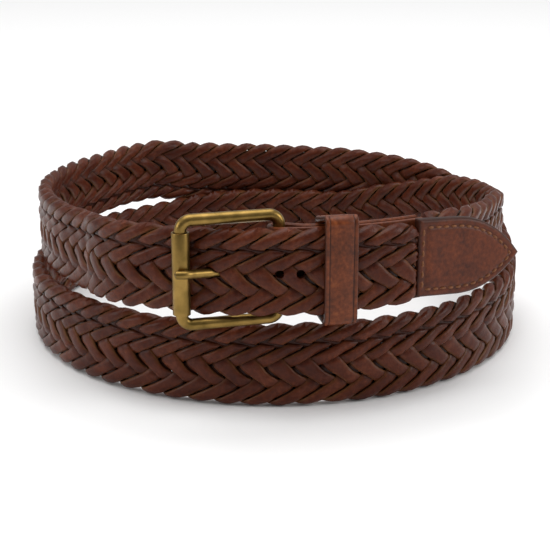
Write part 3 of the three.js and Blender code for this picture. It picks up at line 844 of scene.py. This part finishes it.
def punched(piece, skins):
    """Cuts some closed skins out of a piece."""
    tool = bpy.data.objects.new("punch", skins_mesh("punch", skins))
    bpy.context.scene.collection.objects.link(tool)
    cut = piece.modifiers.new("holes", "BOOLEAN")
    cut.operation = "DIFFERENCE"
    cut.solver = "MANIFOLD"
    cut.object = tool
    shaped = piece.evaluated_get(bpy.context.evaluated_depsgraph_get())
    mesh = bpy.data.meshes.new_from_object(shaped)
    piece.modifiers.clear()
    piece.data = mesh
    bpy.data.objects.remove(tool)
    print(piece.name, "has", len(mesh.polygons), "faces after the cut")


# %% Two loose holes and the prong's own
PUNCH_STEPS = 8
punches = [(round_bar(prong_points(), lambda share: PRONG_DIAMETER / 2 + HOLE_GAP), False)]
middle_radius = face_radius(OUTER_LAYERS) - STRAP_THICKNESS / 2
for degrees in HOLE_DEGREES:
    radii = middle_radius + STRAP_THICKNESS * np.array([-1, 0, 1])
    way_through = ring_middle + on_ring(radii, np.full(len(radii), degrees), 0)
    way_through[:, 2] = hinge_middle[2]
    punches.append((round_bar(way_through, lambda share: HOLE_DIAMETER / 2, PUNCH_STEPS), False))
punched(falling_strips, punches)
punched(rising_strips, punches)

# %% [markdown]
# The fold that holds the buckle is one piece of plain leather, folded round the hinge bar and
# sewn over the braid's end. It is made as a flat strip swept along its folded path, and then a
# slot is cut at the fold, in which the eye of the prong swings.

# %% The folded leather
CHAPE_WALL = 1.6
CHAPE_LENGTH = 50.0
CHAPE_HEIGHT = 28.0
CHAPE_STEPS = 25
FOLD_STEPS = 16
LEATHER_EDGE = 0.45
hinge_x, hinge_y = hinge_middle[:2] - ring_middle[:2]
chape_degrees = math.degrees(math.atan2(hinge_x, -hinge_y))


def flat_band(middles, ways_across, way_wide, wide, thick):
    """A leather band with rounded edges, swept along a path: thick across it, wide beside it."""
    n, w, edge, cut = thick / 2, wide / 2, LEATHER_EDGE, ROUNDING * LEATHER_EDGE
    section = [
        (n - edge, -w), (n - cut, cut - w), (n, edge - w), (n, 0), (n, w - edge), (n - cut, w - cut),
        (n - edge, w), (edge - n, w), (-n, w - edge), (-n, 0), (-n, edge - w), (edge - n, -w),
    ]
    return np.array([
        [middle + across * through + way_wide * beside for through, beside in section]
        for middle, across in zip(middles, ways_across)])


def chape_band():
    """The folded strip: along the outer wall, round the bar and back along the inner wall."""
    fold = BORE + CHAPE_WALL / 2
    outer = face_radius(UNDER_LAYERS)
    middles, ways = [], []
    shares = np.linspace(0, 1, CHAPE_STEPS)

    def wall_points(sign, order):
        """The middle line of the outer wall (1) or the inner one (-1)."""
        for share in order:
            degrees = chape_degrees + (CHAPE_END - chape_degrees) * share
            swell = 1 - float(smooth(share * CHAPE_LENGTH / (2 * STRAP_THICKNESS)))
            thickness = STRAP_THICKNESS + (2 * fold + CHAPE_WALL - STRAP_THICKNESS) * swell
            radius = outer - CHAPE_WALL / 2 if sign > 0 else outer - thickness + CHAPE_WALL / 2
            middles.append(ring_middle + on_ring(radius, degrees, hinge_middle[2] - ring_middle[2]))
            ways.append(sign * on_ring(1, degrees, 0))

    wall_points(1, shares[::-1])
    start = math.radians(chape_degrees - 90)
    for i in range(1, FOLD_STEPS):
        turn = start - math.pi * i / FOLD_STEPS
        way = np.array([math.cos(turn), math.sin(turn), 0])
        middles.append(hinge_middle + fold * way)
        ways.append(way)
    wall_points(-1, shares)
    return flat_band(middles, ways, UP, CHAPE_HEIGHT, CHAPE_WALL)


chape_skins = [(chape_band(), False)]
chape_piece = new_piece("folded_end", chape_skins, keeper_leather, ["chape"])

# %% The slot in the fold, in which the eye of the prong swings
SLOT_GAP = 0.8
fold_reach = BORE + CHAPE_WALL
eye_reach = BORE + PRONG_EYE_WALL
slot_half = PRONG_DIAMETER / 2 + HOLE_GAP
left, near, bottom = hinge_middle - (fold_reach + SLOT_GAP, fold_reach * 2, slot_half)
right, far, top = hinge_middle + (eye_reach + SLOT_GAP, fold_reach * 2, slot_half)
slot_plan = [(left, near), (right, near), (right, far), (left, far)]
slot_skin = np.array([[(x, y, z) for x, y in slot_plan] for z in (bottom, top)])
punched(chape_piece, [(slot_skin, False)])

# %% [markdown]
# The keeper is a loop of thicker leather with a creased line near each edge. It is a section
# with two small grooves, swept round a rounded rectangle.

# %% The keeper's creased section, in mm along the strap and out of the keeper's face
KEEPER_WIDTH = 11.0
KEEPER_WALL = 2.0
KEEPER_EDGE = 0.5
CREASE_INSET = 1.5
CREASE_HALF = 0.35
CREASE_DEPTH = 0.22
# How much painted shade the leather takes round the section: at its cut edges and in its two creases.
KEEPER_PAINTED_SHADE = np.array([0.75, 0.5, 0, 0, 0.7, 0, 0, 0.7, 0, 0, 0.5, 0.75, 0.75, 0, 0, 0.75])


def keeper_section():
    """The section's points, from one cut edge over the face to the other and back inside."""
    half, edge, cut = KEEPER_WIDTH / 2, KEEPER_EDGE, ROUNDING * KEEPER_EDGE
    section = [(-half, -edge), (cut - half, -cut), (edge - half, 0)]
    for side in (-1, 1):
        spot = side * (half - CREASE_INSET)
        section += [(spot - CREASE_HALF, 0), (spot, -CREASE_DEPTH), (spot + CREASE_HALF, 0)]
    section += [(half - edge, 0), (half - cut, -cut), (half, -edge)]
    section += [(half, edge - KEEPER_WALL), (half - edge, -KEEPER_WALL)]
    return section + [(edge - half, -KEEPER_WALL), (-half, edge - KEEPER_WALL)]


# %% Keeper
KEEPER_ACROSS = 21.5
KEEPER_CORNER = 0.8
KEEPER_CORNER_STEPS = 8
# How much the loop's top is raised at the front and lowered at the back.
KEEPER_FRONT_LIFT = 1.4
LOOSE_GAP = 0.8
keeper_degrees = math.degrees(math.asin(KEEPER_ACROSS / face_radius(OUTER_LAYERS)))


def keeper_band():
    """The loop's rings: its section, swept round the two layers that it holds."""
    section = keeper_section()
    inner = face_radius(UNDER_LAYERS) - STRAP_THICKNESS - LOOSE_GAP
    deep = face_radius(OUTER_LAYERS) + FIT_GAP - inner
    high = STRAP_WIDTH + 2 * LOOSE_GAP
    up_to_middle = hinge_middle[2] - ring_middle[2]
    middle = ring_middle + on_ring((inner + inner + deep) / 2, keeper_degrees, up_to_middle)
    out = on_ring(1, keeper_degrees, 0)
    along = on_ring(1, keeper_degrees + 90, 0)
    reach_n, reach_z = deep / 2 - KEEPER_CORNER, high / 2 - KEEPER_CORNER
    rings = []
    for quarter, (sign_n, sign_z) in enumerate(CORNERS):
        lift = sign_n * KEEPER_FRONT_LIFT if sign_z > 0 else 0
        corner = middle + out * sign_n * reach_n + UP * (sign_z * reach_z + lift)
        for i in range(KEEPER_CORNER_STEPS + 1):
            turn = (quarter + i / KEEPER_CORNER_STEPS) * math.pi / 2
            way = out * math.cos(turn) + UP * math.sin(turn)
            rings.append([corner + way * (KEEPER_CORNER + KEEPER_WALL + n) + along * s
                          for s, n in section])
    return np.array(rings)


keeper_rings = keeper_band()
keeper_piece = new_piece("keeper_band", [(keeper_rings, True)], keeper_leather,
                         ["keeper_loop"], sharp=60)
# Painted shade on the keeper's cut edges and in its creases.
set_values(keeper_piece, "deep", np.tile(KEEPER_PAINTED_SHADE, len(keeper_rings)))

# %% [markdown]
# The end piece is two leathers sewn together round the braid's end, cut to a drooping point.
# Its face is a grid whose height follows the distance to the cut edge: a rounded edge with painted
# shade on it, a pressed channel under the stitches with painted shade in it, and a slight swell in the
# middle.

# %% The sewn end's outline, in mm along it and up
TIP_HEIGHT = 27.0
TIP_THICKNESS = 4.4
# How long the pointed part is, the share of it at which its sides lean in, and how high the
# middle line starts and how far it falls by the point.
TIP_POINT = 26.0
TIP_PULL = 0.41
TIP_LIFT = 1.2
TIP_DROOP = 3.0
STRAIGHT_STEPS = 24
POINT_STEPS = 60


def quadratic(a, b, c, count):
    """Points on a curve from a to c that leans to b."""
    t = np.linspace(0, 1, count)[:, None]
    return (1 - t) ** 2 * a + 2 * t * (1 - t) * b + t ** 2 * c


def drooping(x, side):
    """A point of the outline, along and up, at one side (-1 or 1) or on its middle line (0)."""
    return np.array([x, side * TIP_HEIGHT / 2 + TIP_LIFT - TIP_DROOP * x / TIP_LENGTH])


def tip_side(side):
    """One long side of the tip, from the braid to the point."""
    arch = drooping(TIP_LENGTH - TIP_POINT, side)
    lean = drooping(TIP_LENGTH - TIP_POINT * TIP_PULL, side)
    before = np.linspace(drooping(0, side), arch, STRAIGHT_STEPS)
    return np.vstack([before[:-1], quadratic(arch, lean, drooping(TIP_LENGTH, 0), POINT_STEPS)])


tip_lower, tip_upper = tip_side(-1), tip_side(1)
tip_outline = np.vstack([tip_lower, tip_upper[::-1][1:]])


def edge_distance(points):
    """How far points lie inside the tip's cut edge."""
    best = np.full(points.shape[:-1], np.inf)
    for a, b in zip(tip_outline, np.roll(tip_outline, -1, axis=0)):
        side = b - a
        t = np.clip(((points - a) @ side) / (side @ side), 0, 1)
        best = np.minimum(best, np.linalg.norm(points - a - t[..., None] * side, axis=-1))
    return best


# %% The sewn end's face, in mm
STITCH_INSET = 2.8
# How wide the cut edge is rounded, the share of the thickness that is left at the edge itself,
# and how much the face swells, over what distance from the edge.
EDGE_ROUND = 1.3
EDGE_SHARE = 0.35
FACE_RELIEF = 0.35
SWELL_REACH = 6
CHANNEL_WIDE = 0.55
CHANNEL_DEPTH = 0.32
# How much painted shade lies on the cut edge and in the stitched channel, and how wide in mm.
EDGE_PAINTED_SHADE = (0.75, 0.9)
CHANNEL_PAINTED_SHADE = (0.3, 0.7)
TIP_COLUMNS = 61
# How far the columns draw together towards the two edges, from evenly spaced (0) to fully (1).
TOWARDS_EDGES = 0.55
# Shares along the tip: close rings at its start, even ones, then closer ones up to its point.
TIP_MARKS = (0.06, 0.9)
TIP_RINGS = (7, 50, 14)
TIP_LAST = 0.998


def tip_grid():
    """Places along and up on the tip's face: a row of them for each ring."""
    first, last = TIP_MARKS
    near_point = 1 - (1 - last) * (1 - np.linspace(0, 1, TIP_RINGS[2])[1:]) ** 2
    start = np.linspace(0, first, TIP_RINGS[0])[:-1]
    shares = np.concatenate([start, np.linspace(first, last, TIP_RINGS[1]), near_point])
    x = np.clip(shares, 0, TIP_LAST) * TIP_LENGTH
    low = np.interp(x, tip_lower[:, 0], tip_lower[:, 1])
    high = np.interp(x, tip_upper[:, 0], tip_upper[:, 1])
    drawn = np.sin(np.linspace(-math.pi / 2, math.pi / 2, TIP_COLUMNS))
    even = np.linspace(-1, 1, TIP_COLUMNS)
    spread = TOWARDS_EDGES * drawn + (1 - TOWARDS_EDGES) * even
    z = (low + high)[:, None] / 2 + (high - low)[:, None] / 2 * spread
    return np.stack([x[:, None] + 0 * z, z], -1)


def tip_rings():
    """Rings round the tip from its braid end to its point, and how much painted shade each point takes.
    """
    flat = tip_grid()
    distance = edge_distance(flat)
    from_channel = distance - STITCH_INSET
    rounding = np.sqrt(1 - (1 - np.clip(distance / EDGE_ROUND, 0, 1)) ** 2)
    height = (TIP_THICKNESS / 2 - FACE_RELIEF) * (EDGE_SHARE + (1 - EDGE_SHARE) * rounding)
    height = height + FACE_RELIEF * smooth(distance / SWELL_REACH)
    height = height - CHANNEL_DEPTH * np.exp(-(from_channel / CHANNEL_WIDE) ** 2)
    front = np.concatenate([flat, height[..., None]], -1)
    back = np.concatenate([flat, -height[..., None]], -1)[:, ::-1]
    # Painted shade on the rounded cut edge and in the stitched channel.
    dark = EDGE_PAINTED_SHADE[0] * np.exp(-(distance / EDGE_PAINTED_SHADE[1]) ** 2)
    dark = dark + CHANNEL_PAINTED_SHADE[0] * np.exp(-(from_channel / CHANNEL_PAINTED_SHADE[1]) ** 2)
    return np.concatenate([front, back], axis=1), np.concatenate([dark, dark[:, ::-1]], axis=1)


# %% The sewn end
tip_start = line_points[-1] - way_out * TIP_LENGTH
tip_out = np.array([way_out[1], -way_out[0], 0])


def tip_place(x, z, height):
    """A place on the tip, from its own along, up and out."""
    return tip_start + way_out * x[..., None] + UP * z[..., None] + tip_out * height[..., None]


tip_places, tip_painted_shade = tip_rings()
tip_skins = [(tip_place(*np.moveaxis(tip_places, -1, 0)), False)]
tip_piece = new_piece("sewn_end", tip_skins, tip_leather, ["strap_tip"], sharp=55)
set_values(tip_piece, "deep", tip_painted_shade)

# %% [markdown]
# The end is sewn with waxed linen thread, one seam beside the braid and one along the cut edge.
# Each stitch is a short thread of its own, because a real one dips into its hole at both ends and
# swells between them. The same stitches lie on the back.

# %% Waxed linen thread
TWIST_MM = 0.5
TWIST_COLOURS = ("#4A260E", "#8A5224")
thread, thread_tree, thread_shader = new_material("waxed_linen_thread")
thread_place = add_node(thread_tree, "ShaderNodeTexCoord").outputs["Object"]
twist = add_node(thread_tree, "ShaderNodeTexNoise",
                 inputs={"Vector": thread_place, "Scale": 1 / (TWIST_MM * MM)})
thread_ramp = add_node(thread_tree, "ShaderNodeValToRGB", inputs={"Fac": twist.outputs["Fac"]})
for step, colour in zip(thread_ramp.color_ramp.elements, TWIST_COLOURS):
    step.color = srgb(colour)
thread_tree.links.new(thread_ramp.outputs["Color"], thread_shader.inputs["Base Color"])
thread_shader.inputs["Roughness"].default_value = 0.7
print("thread colours:", TWIST_COLOURS)

# %% Stitches
THREAD = 0.95
THREAD_SIDES = 8
STITCH_RINGS = 9
# How high a stitch stands and how deep it starts, in shares of the thread, how full its arch is,
# and the share of its thickness that it keeps at its ends.
STITCH_HIGH, STITCH_DEEP = 0.75, 0.55
STITCH_ARCH = 0.6
STITCH_ENDS = 0.75
# The share of the pitch that a stitch leaves free at each end, and how deep its holes lie, in mm.
STITCH_FREE = 0.1
STITCH_SUNK = 0.2


def stitch(start, end, out):
    """One stitch: a short thread that rises from one hole and dives into the next."""
    along = end - start
    reach = np.linalg.norm(along)
    along = along / reach
    beside = np.cross(out, along)
    rings = []
    for share in np.linspace(0, 1, STITCH_RINGS):
        bow = math.sin(math.pi * share)
        lift = bow ** STITCH_ARCH * THREAD * STITCH_HIGH - THREAD * STITCH_DEEP
        thick = THREAD / 2 * (STITCH_ENDS + (1 - STITCH_ENDS) * bow)
        middle = start + along * reach * share + out * lift
        rings.append([middle + thick * (out * math.cos(a) + beside * math.sin(a))
                      for a in circle(THREAD_SIDES)])
    return np.array(rings)


def seam(path, pitch, face):
    """Stitches along a path on one face of the tip (1 or -1), given by points along and up."""
    lengths = np.append(0, np.cumsum(np.linalg.norm(np.diff(path, axis=0), axis=1)))
    count = round(lengths[-1] / pitch)
    level = np.full(2, TIP_THICKNESS / 2 - FACE_RELIEF - STITCH_SUNK) * face
    skins = []
    for i in range(count):
        marks = np.array([i + STITCH_FREE, i + 1 - STITCH_FREE]) / count * lengths[-1]
        x, z = [np.interp(marks, lengths, path[:, axis]) for axis in (0, 1)]
        start, end = tip_place(x, z, level)
        skins.append((stitch(start, end, tip_out * face), False))
    return skins


# %% The two seams
STITCH_PITCH = 3.1
FIRST_SEAM_PITCH = 3.7
FIRST_SEAM_AT = 1.9
SEAM_START = 1.5
# The least share of the inset that a seam's points keep from the edge, so that none of them is
# left where the moved outline crosses itself at the point.
INSET_KEPT = 0.93


def inset_path(inset):
    """The outline of the tip moved in, from its lower braid end round the point."""
    along = np.gradient(tip_outline, axis=0)
    along /= np.linalg.norm(along, axis=1, keepdims=True)
    moved = tip_outline + inset * np.stack([-along[:, 1], along[:, 0]], -1)
    return moved[(edge_distance(moved) > inset * INSET_KEPT) & (moved[:, 0] > SEAM_START)]


edge_seam = inset_path(STITCH_INSET)
first_seam = np.array([drooping(FIRST_SEAM_AT, side) - (0, side * STITCH_INSET) for side in (-1, 1)])
stitches = []
for face in (1, -1):
    stitches += seam(edge_seam, STITCH_PITCH, face)
    stitches += seam(first_seam, FIRST_SEAM_PITCH, face)
new_piece("end_stitches", stitches, thread)
